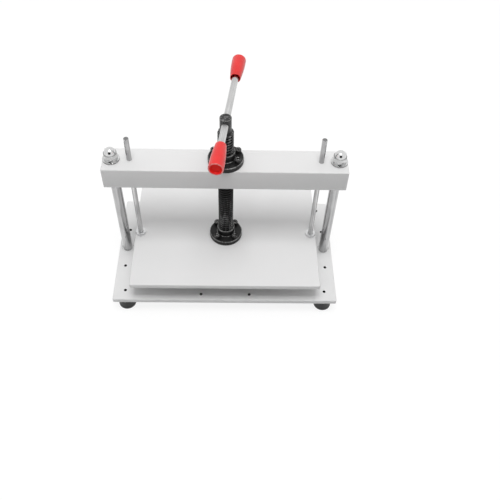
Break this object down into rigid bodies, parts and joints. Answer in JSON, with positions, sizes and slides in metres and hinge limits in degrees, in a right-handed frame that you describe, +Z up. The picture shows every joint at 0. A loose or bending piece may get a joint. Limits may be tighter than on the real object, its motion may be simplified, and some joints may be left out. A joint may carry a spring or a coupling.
{
  "type": "book press",
  "caption": "Bench screw press for flattening books: a bed on rubber feet, posts and a crossbeam, and a guided platen moved by a screw with a sliding tommy bar.",
  "frame": {"origin": "centre of the bed's upper face, on the axis of the screw; the floor is 35 mm below", "axes": "+X to the right along the bed's length, +Y to the back, +Z up along the screw"},
  "size_m": [0.37, 0.2612, 0.3278],
  "materials": {
    "grey_paint": "light grey powder coat, satin",
    "foot_rubber": "matt black rubber",
    "zinc_steel": "zinc-plated steel",
    "ground_steel": "ground and polished round bar",
    "bright_plating": "bright plating",
    "black_oxide": "turned steel, black oxide, oiled",
    "bronze": "plain bearing bronze",
    "bright_bar": "bright drawn bar",
    "red_plastic": "glossy red moulded plastic"
  },
  "bodies": {
    "frame": {"bed_plate": "grey_paint", "foot_front_left": "foot_rubber", "foot_front_right": "foot_rubber", "foot_rear_left": "foot_rubber", "foot_rear_right": "foot_rubber", "foot_screws": "zinc_steel", "foot_washers": "zinc_steel", "post_left": "ground_steel", "post_right": "ground_steel", "post_screws": "zinc_steel", "post_washers": "zinc_steel", "crossbeam": "grey_paint", "top_washers": "bright_plating", "spring_washers": "bright_plating", "cap_nuts": "bright_plating", "screw_nut": "black_oxide", "screw_nut_screws": "black_oxide"},
    "platen": {"press_platen": "grey_paint", "guide_rod_left": "ground_steel", "guide_rod_right": "ground_steel", "guide_collar_left": "zinc_steel", "guide_collar_right": "zinc_steel", "thrust_housing": "black_oxide", "thrust_housing_screws": "black_oxide", "thrust_washer": "bronze"},
    "spindle": {"spindle": "black_oxide", "retaining_washer": "zinc_steel", "retaining_screw": "black_oxide"},
    "handle": {"tommy_bar": "bright_bar", "grip_near": "red_plastic", "grip_far": "red_plastic"}
  },
  "joints": [
    {"name": "platen_lift", "type": "slide", "parent": "frame", "child": "platen", "axis": [0, 0, 1], "range_m": [-0.033, 0.11]},
    {"name": "spindle_turn", "type": "hinge", "parent": "platen", "child": "spindle", "pos_m": [0, 0, 0.2675], "axis": [0, 0, 1], "range_deg": [-2375.5, 7919.5]},
    {"name": "handle_slide", "type": "slide", "parent": "spindle", "child": "handle", "axis": [0.1253, 0.9921, 0], "range_m": [-0.0945, 0.0375]}
  ],
  "couplings": [
    {"joint": "platen_lift", "follows": "spindle_turn", "m_per_rad": 0.00079577}
  ]
}
